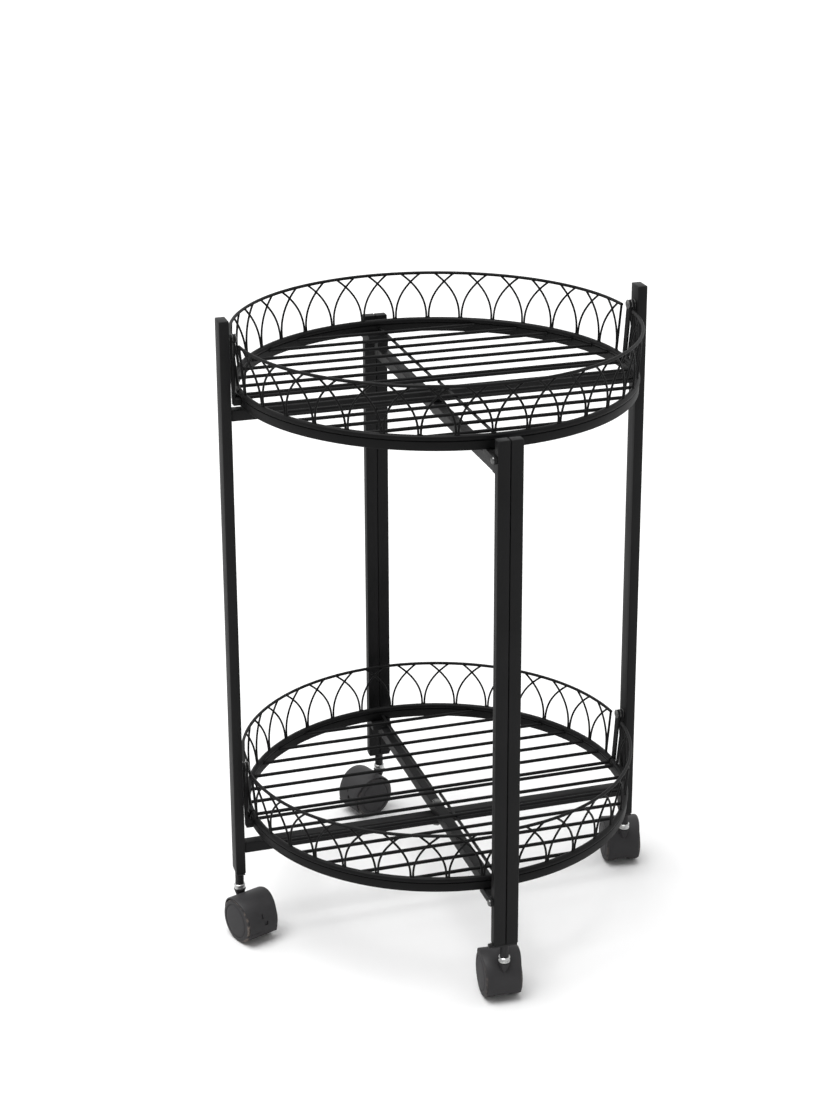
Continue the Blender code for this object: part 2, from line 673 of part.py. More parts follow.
def hood_mesh():
    """A hood over both wheels, with a web between them and a boss for the stem; the stem's axis is at x = 0."""
    outer = HOOD_R
    axle = (TRAIL, 0, WHEEL_R)
    body = bpy.data.objects.new("hood_body", rod_mesh("hood", axle, 2 * outer, 2 * HOOD_HALF, "Y", 28))
    bpy.context.scene.collection.objects.link(body)
    boss_low = WHEEL_R
    boss_middle = (0, 0, (boss_low + BOSS_TOP) / 2)
    cut(body, rod_mesh("boss", boss_middle, BOSS_D, BOSS_TOP - boss_low, "Z", 16), "UNION")
    bm = bmesh.new()
    width = HOOD_HALF + HOOD_WALL - WEB_HALF
    for way in SIDES.values():
        middle = (TRAIL, way * (WEB_HALF + width / 2), WHEEL_R)
        add_rod(bm, middle, 2 * (WHEEL_R + HOOD_AIR), width, "Y", 28)
    cut(body, to_mesh(bm, "wheel_wells"))
    low = (TRAIL - 2 * outer, -2 * HOOD_HALF, -outer)
    cut(body, box_mesh("hem", low, (TRAIL + 2 * outer, 2 * HOOD_HALF, HOOD_HEM)))
    depth = 2 * (BOSS_TOP - STEM_FOOT + FIT)
    cut(body, rod_mesh("stem_bore", (0, 0, BOSS_TOP), STEM_SHAFT_D + 2 * RUN, depth))
    cut(body, rod_mesh("axle_bore", axle, AXLE_D + 2 * RUN, 4 * WEB_HALF, "Y"))
    graph = bpy.context.evaluated_depsgraph_get()
    mesh = bpy.data.meshes.new_from_object(body.evaluated_get(graph))
    for guide in list(body.children):
        bpy.data.objects.remove(guide)
    bpy.data.objects.remove(body)
    mesh.shade_smooth()
    mesh.set_sharp_from_angle(angle=math.radians(35))
    return mesh


def wheel_profile():
    return [
        (0, WHEEL_BORE_END),
        (AXLE_D / 2 + RUN, WHEEL_BORE_END),
        (AXLE_D / 2 + RUN, WHEEL_INNER),
        (WHEEL_R - WHEEL_EDGE, WHEEL_INNER),
        (WHEEL_R, WHEEL_INNER + WHEEL_EDGE),
        (WHEEL_R, WHEEL_OUTER - WHEEL_EDGE),
        (WHEEL_R - WHEEL_EDGE, WHEEL_OUTER),
        (0, WHEEL_OUTER + WHEEL_CROWN),
    ]


def stem_profile():
    return [
        (0, STEM_FOOT),
        (STEM_SHAFT_D / 2, STEM_FOOT),
        (STEM_SHAFT_D / 2, BOSS_TOP + FIT),
        (COLLAR_D / 2, BOSS_TOP + FIT),
        (COLLAR_D / 2, COLLAR_TOP),
        (STEM_PIN_D / 2, COLLAR_TOP),
        (STEM_PIN_D / 2, PIN_TOP),
        (0, PIN_TOP),
    ]


def make_caster(corner, parent, where, hood):
    holder = make_empty(f"caster_{corner}_axis", parent, where, math.radians(TRAILS[corner]))
    place(f"caster_{corner}_stem", turned_mesh("stem", stem_profile(), 12), zinc, holder)
    place(f"caster_{corner}_hood", hood.copy(), black_plastic, holder)
    axle = (TRAIL, 0, WHEEL_R)
    pin = rod_mesh("axle", (0, 0, 0), AXLE_D, 2 * AXLE_HALF, "Y")
    place(f"caster_{corner}_axle", pin, zinc, holder, axle)
    for label, turn in (("a", 0.0), ("b", math.pi)):
        wheel = turned_mesh("wheel", wheel_profile(), 24, "Y")
        place(f"caster_{corner}_wheel_{label}", wheel, black_plastic, holder, axle, turn)


def make_casters(cart, frame):
    hood = hood_mesh()
    main_prong = [(0, MAIN_LEG_T / 2 - TUBE_WALL - FIT)]
    for corner, sign in SIDES.items():
        where = (sign * MAIN_LEG_X, 0, 0)
        make_socket(
            f"caster_{corner}_socket", cart, where, MAIN_LEG_T / 2, MAIN_LEG_W / 2, main_prong, False
        )
        make_caster(corner, cart, where, hood)
    tube = SEAM / 2 + CROSS_TUBE_W / 2
    prong_half = CROSS_TUBE_W / 2 - TUBE_WALL - FIT
    prongs = [(-tube, prong_half), (tube, prong_half)]
    for corner, sign in HALVES.items():
        where = (0, sign * CROSS_LEG_Y, 0)
        make_socket(f"caster_{corner}_socket", frame, where, CROSS_HALF_W, CROSS_TUBE_T / 2, prongs, sign < 0)
        make_caster(corner, frame, where, hood)


def main():
    clear_scene()
    cart = make_empty("cart", None, (PIVOT_X, PIVOT_Y, 0))
    make_main_frame(cart)
    frame = make_cross_frame(cart)
    make_trays(cart)
    make_casters(cart, frame)


main()
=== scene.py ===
# %% [markdown]
# # A folding bar cart, dressed for a studio
#
# The cart is black powder-coated steel: two crossed frames of flat tube, two round wire trays, bright zinc rivets
# and four twin-wheel casters in moulded plastic. Its engineering model is already packed as a frame of named solids.
# Here each solid gets the look of the real piece: round wires, rolled rims, softened tube corners and real finishes.
#
# We load the frame first. Each solid's place is in its mesh, in metres, with +Z up and the floor at zero.

import json
import math

import bmesh
import bpy
from mathutils import Matrix, Vector


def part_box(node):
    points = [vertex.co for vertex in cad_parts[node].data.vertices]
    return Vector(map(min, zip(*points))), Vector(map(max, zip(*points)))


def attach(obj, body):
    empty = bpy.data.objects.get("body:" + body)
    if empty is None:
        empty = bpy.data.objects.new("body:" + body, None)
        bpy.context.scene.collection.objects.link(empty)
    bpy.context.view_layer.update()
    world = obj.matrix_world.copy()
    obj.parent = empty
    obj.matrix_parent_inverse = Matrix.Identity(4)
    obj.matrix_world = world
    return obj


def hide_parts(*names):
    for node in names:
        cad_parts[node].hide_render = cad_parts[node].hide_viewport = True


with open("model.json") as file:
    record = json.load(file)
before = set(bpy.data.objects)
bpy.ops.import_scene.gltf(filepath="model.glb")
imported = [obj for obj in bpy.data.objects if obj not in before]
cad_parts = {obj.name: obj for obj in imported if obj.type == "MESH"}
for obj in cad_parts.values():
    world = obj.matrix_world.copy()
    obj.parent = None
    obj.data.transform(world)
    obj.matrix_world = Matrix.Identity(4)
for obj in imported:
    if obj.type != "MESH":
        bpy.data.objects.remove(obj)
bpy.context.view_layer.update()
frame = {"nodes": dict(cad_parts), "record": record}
nodes = frame["nodes"]

# %% [markdown]
# ## The camera
#
# A long lens set back from the cart keeps its legs nearly parallel, as a catalogue picture does. The camera stands
# to the left and looks down a little. The frame is portrait, so the sensor's height sets the view. A small lens
# shift frames the cart without tilting the camera further, which would make the legs converge more.

# %% Set up the camera
CAMERA_AZIMUTH = math.radians(-17.73)
CAMERA_ELEVATION = math.radians(19.16)
CAMERA_DISTANCE = 2.3275
LENS_LENGTH = 74.75
LENS_SHIFT = (-0.0184, -0.0911)
SENSOR_HIGH = 36
AIM_HEIGHT = 0.496
AIM_SIDE = 0.0042

low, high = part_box("pivot_bolt_lower")
pivot = Vector(((low.x + high.x) / 2, (low.y + high.y) / 2, 0))
side = Vector((math.cos(CAMERA_AZIMUTH), math.sin(CAMERA_AZIMUTH), 0))
back = Vector((
    math.sin(CAMERA_AZIMUTH) * math.cos(CAMERA_ELEVATION),
    -math.cos(CAMERA_AZIMUTH) * math.cos(CAMERA_ELEVATION),
    math.sin(CAMERA_ELEVATION),
))

lens = bpy.data.cameras.new("studio_camera")
lens.sensor_fit = "VERTICAL"
lens.sensor_height = SENSOR_HIGH
lens.lens = LENS_LENGTH
lens.shift_x, lens.shift_y = LENS_SHIFT
camera = bpy.data.objects.new("studio_camera", lens)
bpy.context.scene.collection.objects.link(camera)
aim = pivot + side * AIM_SIDE + Vector((0, 0, AIM_HEIGHT))
camera.location = aim + back * CAMERA_DISTANCE
camera.rotation_euler = (-back).to_track_quat("-Z", "Y").to_euler()
bpy.context.scene.camera = camera
print("camera at", [round(v, 3) for v in camera.location])

# %% [markdown]
# ## The studio
#
# The cart stands on a seamless white floor. A bright sky does most of the work. A wide, soft sun, high up and a
# little to the left, throws a faint shadow under the cart and to the right. The standard view transform keeps white
# paper white.
#
# Black paint shows whatever it reflects. In a studio the side where the camera stands is dark, so the sky here fades
# towards that side. The fade is fixed in the room, so it stays where it is when the camera moves.
#
# The floor is bright to the eye, but glossy rays that reach it find a greyer card, as if it were a small sheet of
# paper in a dark room. That is a studio trick, not physics: a real floor reflects as bright as it looks.

# %% Lay the floor and light it
FLOOR_HALF = 15.0
PAPER_WHITE = 0.92
CARD_GREY = 0.52
SKY_BRIGHT = 0.88
SKY_DARK = 0.35
FADE_START = -0.2
FADE_END = 0.75
SUN_STRENGTH = 2.25
SUN_WIDTH = math.radians(40)
SUN_DIRECTION = (0.26, 0.1, -1.0)

bm = bmesh.new()
bmesh.ops.create_grid(bm, x_segments=1, y_segments=1, size=FLOOR_HALF)
floor_mesh = bpy.data.meshes.new("studio_floor")
bm.to_mesh(floor_mesh)
bm.free()
studio_floor = bpy.data.objects.new("studio_floor", floor_mesh)
bpy.context.scene.collection.objects.link(studio_floor)

paper = bpy.data.materials.new("white_paper")
paper.use_nodes = True
tree = paper.node_tree
white = tree.nodes["Principled BSDF"]
white.inputs["Base Color"].default_value = (PAPER_WHITE, PAPER_WHITE, PAPER_WHITE, 1)
white.inputs["Roughness"].default_value = 0.9
white.inputs["Specular IOR Level"].default_value = 0.1
card = tree.nodes.new("ShaderNodeBsdfDiffuse")
card.inputs["Color"].default_value = (CARD_GREY, CARD_GREY, CARD_GREY, 1)
ray = tree.nodes.new("ShaderNodeLightPath")
swap = tree.nodes.new("ShaderNodeMixShader")
tree.links.new(ray.outputs["Is Glossy Ray"], swap.inputs["Fac"])
tree.links.new(white.outputs["BSDF"], swap.inputs[1])
tree.links.new(card.outputs["BSDF"], swap.inputs[2])
tree.links.new(swap.outputs["Shader"], tree.nodes["Material Output"].inputs["Surface"])
floor_mesh.materials.append(paper)

sky = bpy.data.worlds.new("studio_sky")
sky.use_nodes = True
tree = sky.node_tree
direction = tree.nodes.new("ShaderNodeTexCoord")
facing = tree.nodes.new("ShaderNodeVectorMath")
facing.operation = "DOT_PRODUCT"
facing.inputs[1].default_value = (math.sin(CAMERA_AZIMUTH), -math.cos(CAMERA_AZIMUTH), 0)
tree.links.new(direction.outputs["Generated"], facing.inputs[0])
fade = tree.nodes.new("ShaderNodeMapRange")
fade.interpolation_type = "SMOOTHSTEP"
fade.inputs["From Min"].default_value = FADE_START
fade.inputs["From Max"].default_value = FADE_END
fade.inputs["To Min"].default_value = SKY_BRIGHT
fade.inputs["To Max"].default_value = SKY_DARK
tree.links.new(facing.outputs["Value"], fade.inputs["Value"])
tree.links.new(fade.outputs["Result"], tree.nodes["Background"].inputs["Strength"])
tree.nodes["Background"].inputs["Color"].default_value = (1, 1, 1, 1)
bpy.context.scene.world = sky
bpy.context.scene.view_settings.view_transform = "Standard"

sun = bpy.data.lights.new("soft_sun", "SUN")
sun.energy = SUN_STRENGTH
sun.angle = SUN_WIDTH
sun_lamp = bpy.data.objects.new("soft_sun", sun)
bpy.context.scene.collection.objects.link(sun_lamp)
sun_lamp.rotation_euler = Vector(SUN_DIRECTION).to_track_quat("-Z", "Y").to_euler()
print("floor and lights ready")

# %% [markdown]
# ## Finishes
#
# A finish is a small tree of shader nodes on the Principled shader. Two noise patterns do most of the work: a broad
# one changes the roughness and colour a little from place to place, and a fine one lifts the surface in a bump.
# Everything reads Object coordinates, which are metres here, so a scale of 1000 makes grains about a millimetre wide.
#
# The first helper starts a material and returns its tree, so that each finish only adds what it needs.


# %% Helpers for shader trees
def start_material(name):
    made = bpy.data.materials.new(name)
    made.use_nodes = True
    tree = made.node_tree
    coordinates = tree.nodes.new("ShaderNodeTexCoord")
    return made, tree, tree.nodes["Principled BSDF"], coordinates.outputs["Object"]


def add_noise(tree, where, scale, detail=4.0, roughness=0.55):
    noise = tree.nodes.new("ShaderNodeTexNoise")
    noise.inputs["Scale"].default_value = scale
    noise.inputs["Detail"].default_value = detail
    noise.inputs["Roughness"].default_value = roughness
    tree.links.new(where, noise.inputs["Vector"])
    return noise.outputs["Fac"]


def add_range(tree, value, out_low, out_high, in_low=0.3, in_high=0.7):
    spread = tree.nodes.new("ShaderNodeMapRange")
    spread.inputs["From Min"].default_value = in_low
    spread.inputs["From Max"].default_value = in_high
    spread.inputs["To Min"].default_value = out_low
    spread.inputs["To Max"].default_value = out_high
    tree.links.new(value, spread.inputs["Value"])
    return spread.outputs["Result"]


def add_blend(tree, factor, first, second):
    mixer = tree.nodes.new("ShaderNodeMix")
    mixer.data_type = "RGBA"
    tree.links.new(factor, mixer.inputs["Factor"])
    for socket, colour in ((mixer.inputs["A"], first), (mixer.inputs["B"], second)):
        if isinstance(colour, tuple):
            socket.default_value = (*colour, 1)
        else:
            tree.links.new(colour, socket)
    return mixer.outputs["Result"]


def add_bump(tree, shader, height, depth, strength=1.0):
    bump = tree.nodes.new("ShaderNodeBump")
    bump.inputs["Strength"].default_value = strength
    bump.inputs["Distance"].default_value = depth
    tree.links.new(height, bump.inputs["Height"])
    tree.links.new(bump.outputs["Normal"], shader.inputs["Normal"])


# %% [markdown]
# ### Powder coat
#
# Powder coat is paint sprayed on dry and baked. It flows into a satin skin with a very slight orange-peel ripple.
# Nearly all its light is gloss, so the base colour stays almost black and the roughness carries the look.


# %% Powder coat
def powder_coat(name, dark=0.0052, gloss=0.24):
    made, tree, shader, where = start_material(name)
    broad = add_noise(tree, where, 18)
    grain = add_noise(tree, where, 1500, detail=2)
    deep = (dark, dark, dark * 1.06)
    pale = (dark * 1.8, dark * 1.8, dark * 1.9)
    colour = add_blend(tree, add_range(tree, broad, 0, 1), deep, pale)
    tree.links.new(colour, shader.inputs["Base Color"])
    tree.links.new(add_range(tree, broad, 0.42, 0.54), shader.inputs["Roughness"])
    shader.inputs["Specular IOR Level"].default_value = gloss
    add_bump(tree, shader, grain, 0.00004, 0.35)
    return made


# %% [markdown]
# ### Moulded plastic
#
# The casters are injection-moulded nylon. The mould is spark-eroded, so the skin is a fine matte grain, and it
# scatters more light than the paint. Handling leaves it slightly blotchy.


# %% Moulded plastic
def moulded_plastic(name, dark=0.0185):
    made, tree, shader, where = start_material(name)
    broad = add_noise(tree, where, 45)
    grain = add_noise(tree, where, 2600, detail=3)
    light = dark * 1.5
    deep = (dark, dark * 0.96, dark * 1.04)
    pale = (light, light * 0.95, light * 1.02)
    colour = add_blend(tree, add_range(tree, broad, 0, 1), deep, pale)
    tree.links.new(colour, shader.inputs["Base Color"])
    tree.links.new(add_range(tree, broad, 0.46, 0.6), shader.inputs["Roughness"])
    shader.inputs["Specular IOR Level"].default_value = 0.45
    add_bump(tree, shader, grain, 0.00006, 0.5)
    return made


# %% [markdown]
# ### Zinc plate
#
# Caster stems and axles are zinc-plated steel: a bright metal, a little blue, with a fine drawn grain. The rivets
# and all bolts got a thin dark passivation, so the same metal is made darker.


# %% Zinc plate
def zinc_plate(name, shade=1.0):
    made, tree, shader, where = start_material(name)
    broad = add_noise(tree, where, 160)
    grain = add_noise(tree, where, 2200, detail=2)
    dull = (0.62 * shade, 0.63 * shade, 0.64 * shade)
    bright = (0.82 * shade, 0.82 * shade, 0.8 * shade)
    colour = add_blend(tree, add_range(tree, broad, 0, 1), dull, bright)
    tree.links.new(colour, shader.inputs["Base Color"])
    shader.inputs["Metallic"].default_value = 1.0
    tree.links.new(add_range(tree, broad, 0.22, 0.38), shader.inputs["Roughness"])
    add_bump(tree, shader, grain, 0.00003, 0.4)
    return made


tube_coat = powder_coat("tube_powder_coat")
wire_coat = powder_coat("wire_powder_coat", 0.0036, 0.17)
strap_coat = powder_coat("strap_powder_coat", 0.0042, 0.2)
hood_plastic = moulded_plastic("hood_plastic")
plug_plastic = moulded_plastic("plug_plastic", 0.01)
zinc = zinc_plate("zinc_plate")
dark_zinc = zinc_plate("blackened_zinc_plate", 0.3)
print("finishes:", [m.name for m in bpy.data.materials])

# %% [markdown]
# ## From bmesh to piece
#
# Every piece ends the same way: its bmesh becomes a mesh, its curved faces are shaded smooth while edges sharper
# than the given angle stay crisp, and it rides on the body that carries it. The solids it covers are then hidden.


# %% Helpers that finish a piece
def finish_piece(bm, name, body, material, covers, crisp=35):
    mesh = bpy.data.meshes.new(name)
    bm.to_mesh(mesh)
    bm.free()
    mesh.shade_smooth()
    mesh.set_sharp_from_angle(angle=math.radians(crisp))
    mesh.materials.append(material)
    piece = bpy.data.objects.new(name, mesh)
    bpy.context.scene.collection.objects.link(piece)
    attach(piece, body)
    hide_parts(*covers)
    return piece


def body_of_node(node):
    return next(body for body, members in frame["record"]["behaviour"]["bodies"].items() if node in members)


def middle_of(node):
    low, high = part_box(node)
    return (low + high) / 2


def triangles(piece):
    return sum(len(face.vertices) - 2 for face in piece.data.polygons)


# %% [markdown]
# ## Tubes, bars and straps
#
# The flat tubes, crossbars and arms already have the right shape, but their corners are knife sharp. Real tube is
# rolled, and real strap is tumbled before it is coated, so every long corner has a small radius that catches light.
# A copy of the solid is merged, its flat faces are joined up, and only its long convex corners are bevelled.


# %% Soften the corners of a solid
MERGE = 2e-6
FLAT = math.radians(1)
SHARP = math.radians(50)
LEG_ROUND, CROSS_LEG_ROUND, BAR_ROUND = 0.0012, 0.0011, 0.001
YOKE_BAR_ROUND, HANGER_ROUND, PLUG_ROUND = 0.0006, 0.0004, 0.0004
TUBE_EDGE, YOKE_EDGE, SMALL_EDGE = 0.008, 0.004, 0.003  # the shortest edges that are rounded


def softened(node, name, radius, shortest, material=None):
    bm = bmesh.new()
    bm.from_mesh(nodes[node].data)
    bmesh.ops.remove_doubles(bm, verts=bm.verts, dist=MERGE)
    bmesh.ops.dissolve_limit(bm, angle_limit=FLAT, verts=bm.verts, edges=bm.edges)
    corners = [
        edge
        for edge in bm.edges
        if len(edge.link_faces) == 2
        and edge.is_convex
        and edge.calc_face_angle() > SHARP
        and edge.calc_length() > shortest
    ]
    bmesh.ops.bevel(
        bm, geom=corners, offset=radius, segments=3, profile=0.5, affect="EDGES", clamp_overlap=True, material=-1
    )
    return finish_piece(bm, name, body_of_node(node), material or tube_coat, [node])


for side_name in ("left", "right"):
    softened(f"main_leg_{side_name}", f"tall_leg_{side_name}", LEG_ROUND, TUBE_EDGE)
for end in ("front", "back"):
    for side_name in ("left", "right"):
        leg = f"{end}_{side_name}"
        softened(f"cross_leg_{leg}", f"short_leg_{leg}", CROSS_LEG_ROUND, TUBE_EDGE)
for tier in ("lower", "upper"):
    softened(f"main_bar_{tier}", f"long_bar_{tier}", BAR_ROUND, TUBE_EDGE)
    softened(f"cross_bar_{tier}", f"yoke_bar_{tier}", YOKE_BAR_ROUND, YOKE_EDGE)
print("softened tubes and bars")

# %% Soften the tray arms
hangers = []
for tier in ("lower", "upper"):
    for half in ("front", "back"):
        for side_name in ("left", "right"):
            node = f"tray_{tier}_{half}_arm_{side_name}"
            name = f"hanger_{tier}_{half}_{side_name}"
            hangers.append(softened(node, name, HANGER_ROUND, SMALL_EDGE, strap_coat))
print("softened hangers:", len(hangers))

# %% [markdown]
# ## Tray rims and slats
#
# A rim is a strip of steel whose top edge is rolled into a bead. Spinning one cross-section half a turn makes it:
# the section is a band four millimetres thick with a round bead on top. The slats are round wires laid across and
# welded inside the band, and a flat strip under them ties them to the front and back of the rim.

# %% Sizes of the trays
RIM_RADIUS = 0.200
BAND_THICK = 0.004
BAND_HIGH = 0.009
BEAD_WIDE = 0.006
BEAD_RADIUS = RIM_RADIUS - 0.002
BEAD_POINTS = 15
RIM_SOFT = 0.0005
NECK_LOW, NECK_HIGH, NECK_IN = 0.0004, 0.0002, 0.0008  # the neck between the band and its bead
RIM_STEPS = 72
HALF_GAP = 0.0012
SLAT_WIDE = 0.0036
SLAT_FIRST = 0.0047
SLAT_PITCH = 0.0277
SLATS = 7
SLAT_HEIGHT = 0.008
SLAT_WELD = 0.0019
STRIP_WIDE = 0.0028
STRIP_THICK = 0.0016
STRIP_SHIFT = {"lower": -0.0022, "upper": -0.001}

rim_floor = {tier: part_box(f"tray_{tier}_back_base")[0].z for tier in ("lower", "upper")}
print("undersides of the rims:", {tier: round(z, 4) for tier, z in rim_floor.items()})


# %% Spin a rim and lay its slats
def spin_rim(bm, start, steps):
    inner = RIM_RADIUS - BAND_THICK
    outline = [(inner, RIM_SOFT), (inner + RIM_SOFT, 0), (RIM_RADIUS - RIM_SOFT, 0), (RIM_RADIUS, RIM_SOFT)]
    outline += [(RIM_RADIUS, BAND_HIGH - NECK_LOW), (RIM_RADIUS - NECK_IN, BAND_HIGH + NECK_HIGH)]
    for i in range(BEAD_POINTS):
        turn = math.radians(-60 + 300 * i / (BEAD_POINTS - 1))
        height = BAND_HIGH + BEAD_WIDE / 2 + BEAD_WIDE / 2 * math.sin(turn)
        outline.append((BEAD_RADIUS + BEAD_WIDE / 2 * math.cos(turn), height))
    outline += [(inner + NECK_IN, BAND_HIGH + NECK_HIGH), (inner, BAND_HIGH - NECK_LOW)]
    face = bm.faces.new([bm.verts.new((radius, 0, height)) for radius, height in outline])
    bmesh.ops.rotate(bm, cent=(0, 0, 0), matrix=Matrix.Rotation(start, 3, "Z"), verts=bm.verts)
    bmesh.ops.spin(bm, geom=[face], cent=(0, 0, 0), axis=(0, 0, 1), angle=math.pi - 2 * start, steps=steps)


def add_wire(bm, first, second, diameter, sides=12):
    """A straight round wire from one point to another."""
    first, second = Vector(first), Vector(second)
    turn = (second - first).to_track_quat("Z", "Y").to_matrix().to_4x4()
    where = Matrix.Translation((first + second) / 2) @ turn
    bmesh.ops.create_cone(
        bm, cap_ends=True, cap_tris=False, segments=sides, radius1=diameter / 2, radius2=diameter / 2,
        depth=(second - first).length, matrix=where,
    )


def make_tray(tier, half):
    start = math.asin(HALF_GAP / (RIM_RADIUS - BAND_THICK))
    bm = bmesh.new()
    spin_rim(bm, start, RIM_STEPS)
    for i in range(SLATS):
        y = SLAT_FIRST + i * SLAT_PITCH
        reach = math.sqrt((RIM_RADIUS - BAND_THICK / 2) ** 2 - y**2)
        add_wire(bm, (-reach, y, SLAT_HEIGHT), (reach, y, SLAT_HEIGHT), SLAT_WIDE)
        for end in (-1, 1):
            weld = (end * math.sqrt((RIM_RADIUS - BAND_THICK) ** 2 - y**2), y, SLAT_HEIGHT)
            blob = Matrix.Translation(weld) @ Matrix.Diagonal((1.3, 1.15, 1.0, 1))
            bmesh.ops.create_icosphere(bm, subdivisions=2, radius=SLAT_WELD, matrix=blob)
    strip = bmesh.ops.create_cube(bm, size=1.0)["verts"]
    bmesh.ops.scale(bm, vec=(STRIP_WIDE, RIM_RADIUS - BAND_THICK / 2 - SLAT_FIRST, STRIP_THICK), verts=strip)
    middle = (RIM_RADIUS - BAND_THICK / 2 + SLAT_FIRST) / 2
    strip_height = SLAT_HEIGHT - SLAT_WIDE / 2 - 0.3 * STRIP_THICK
    bmesh.ops.translate(bm, vec=(STRIP_SHIFT[tier], middle, strip_height), verts=strip)
    turn = Matrix.Rotation(0 if half == "back" else math.pi, 4, "Z")
    place = Matrix.Translation(pivot + Vector((0, 0, rim_floor[tier]))) @ turn
    bmesh.ops.transform(bm, matrix=place, verts=bm.verts)
    bmesh.ops.recalc_face_normals(bm, faces=bm.faces)
    name = f"tray_{tier}_{half}"
    return finish_piece(bm, name, name, wire_coat, [f"{name}_base"], 50)


for tier in ("lower", "upper"):
    for half in ("front", "back"):
        tray = make_tray(tier, half)
print("one tray half:", triangles(tray), "triangles")

# %% [markdown]
# ## The fences
#
# The fence is bent wire. Two wires stand side by side on the bead at each foot and lean away from each other until
# they cross their neighbours and meet the top wire, which gives the row of pointed arches. Curves suit wire: each
# wire is a spline with a few points, and the curve's round bevel gives it its thickness. A point's radius scales
# that bevel, so thin arch wires, thicker posts and the top wire can share one curve, which is then made a mesh.
#
# The arches of a real half aren't quite evenly spaced. A slip moves each point round the rim by a small angle that is
# zero at both ends. Its skew says where along the half it is greatest.

# %% Sizes of the fence
FENCE_HIGH = 0.0475
FENCE_FLARE = 0.0045
FENCE_END = math.radians(4.5)
ARCHES = 17
ARCH_REACH = 0.8
ARCH_POWER = 2.3
FOOT_HALF = 0.00125
ARCH_WIRE = 0.0022
POST_WIRE = 0.0026
TOP_WIRE = 0.0033
BEVEL = 0.001
SINK = 0.0006
ARCH_STEPS = 20
TOP_STEPS = 96
TOP_OVERHANG = 0.004  # radians
FOOT_WELD = 0.0017
SLIP = {  # greatest slip in degrees, and its skew
    ("upper", "back"): (1.7, 3.7),
    ("lower", "back"): (3.6, 2.0),
    ("upper", "front"): (3.2, 0.53),
    ("lower", "front"): (0.6, 1.0),
}

arch_pitch = (math.pi - 2 * FENCE_END) / ARCHES
print("pitch along the rim:", round(arch_pitch * BEAD_RADIUS * 1000, 1), "mm")


# %% Bend the wires of a fence
def on_fence(angle, height, slip):
    """A point on the fence at an angle round the rim and a height above the bead."""
    most, skew = slip
    share = min(max((angle - FENCE_END) / (math.pi - 2 * FENCE_END), 0), 1)
    angle += math.radians(most) * math.sin(math.pi * share**skew)
    radius = BEAD_RADIUS + FENCE_FLARE * height / FENCE_HIGH
    return Vector((radius * math.cos(angle), radius * math.sin(angle), BAND_HIGH + BEAD_WIDE + height))


def add_spline(curve, points, diameter):
    spline = curve.splines.new("POLY")
    spline.points.add(len(points) - 1)
    for point, place in zip(spline.points, points):
        point.co = (*place, 1)
        point.radius = diameter / 2 / curve.bevel_depth


def arch_points(foot, way, slip):
    lean = ARCH_REACH * arch_pitch * BEAD_RADIUS - FOOT_HALF
    points = []
    for i in range(ARCH_STEPS + 1):
        share = i / ARCH_STEPS
        height = -SINK + (FENCE_HIGH + SINK) * share
        along = FOOT_HALF + lean * max(height / FENCE_HIGH, 0) ** ARCH_POWER
        points.append(on_fence(foot + way * along / BEAD_RADIUS, height, slip))
    return points


def make_fence(tier, half):
    slip = SLIP[tier, half]
    curve = bpy.data.curves.new("fence_wires", "CURVE")
    curve.dimensions = "3D"
    curve.bevel_depth = BEVEL
    curve.bevel_resolution = 3
    curve.use_fill_caps = True
    for i in range(ARCHES + 1):
        foot = FENCE_END + i * arch_pitch
        if i < ARCHES:
            add_spline(curve, arch_points(foot, 1, slip), ARCH_WIRE)
        if i > 0:
            add_spline(curve, arch_points(foot, -1, slip), ARCH_WIRE)
    for end in (FENCE_END, math.pi - FENCE_END):
        add_spline(curve, [on_fence(end, height, slip) for height in (-SINK, 0.024, FENCE_HIGH)], POST_WIRE)
    sweep = math.pi - 2 * FENCE_END + 2 * TOP_OVERHANG
    turns = [FENCE_END - TOP_OVERHANG + sweep * i / TOP_STEPS for i in range(TOP_STEPS + 1)]
    add_spline(curve, [on_fence(turn, FENCE_HIGH, slip) for turn in turns], TOP_WIRE)
    wires = bpy.data.objects.new("fence_wires", curve)
    bm = bmesh.new()
    bm.from_mesh(bpy.data.meshes.new_from_object(wires))
    bpy.data.objects.remove(wires)
    for i in range(ARCHES + 1):
        foot = on_fence(FENCE_END + i * arch_pitch, 0, slip)
        blob = Matrix.Translation(foot) @ Matrix.Rotation(math.atan2(foot.y, foot.x), 4, "Z")
        blob = blob @ Matrix.Diagonal((1, 1.6, 0.6, 1))
        bmesh.ops.create_icosphere(bm, subdivisions=2, radius=FOOT_WELD, matrix=blob)
    turn = Matrix.Rotation(0 if half == "back" else math.pi, 4, "Z")
    place = Matrix.Translation(pivot + Vector((0, 0, rim_floor[tier]))) @ turn
    bmesh.ops.transform(bm, matrix=place, verts=bm.verts)
    body = f"tray_{tier}_{half}"
    return finish_piece(bm, f"fence_{tier}_{half}", body, wire_coat, [f"{body}_fence"], 60)


for tier in ("lower", "upper"):
    for half in ("front", "back"):
        fence = make_fence(tier, half)
print("one fence half:", triangles(fence), "triangles")

# %% [markdown]
# ## Rivets and bolts
#
# The rivets and the yoke bolts are turned parts, so each is a profile spun round its own axis. The rivets that carry
# the trays have a domed head and two thin washers on the shank. The bolts that hold the yokes have a low head on the
# left and their nut inside the right tube. The bolt at each crossing has a six-sided head and nut over washers.

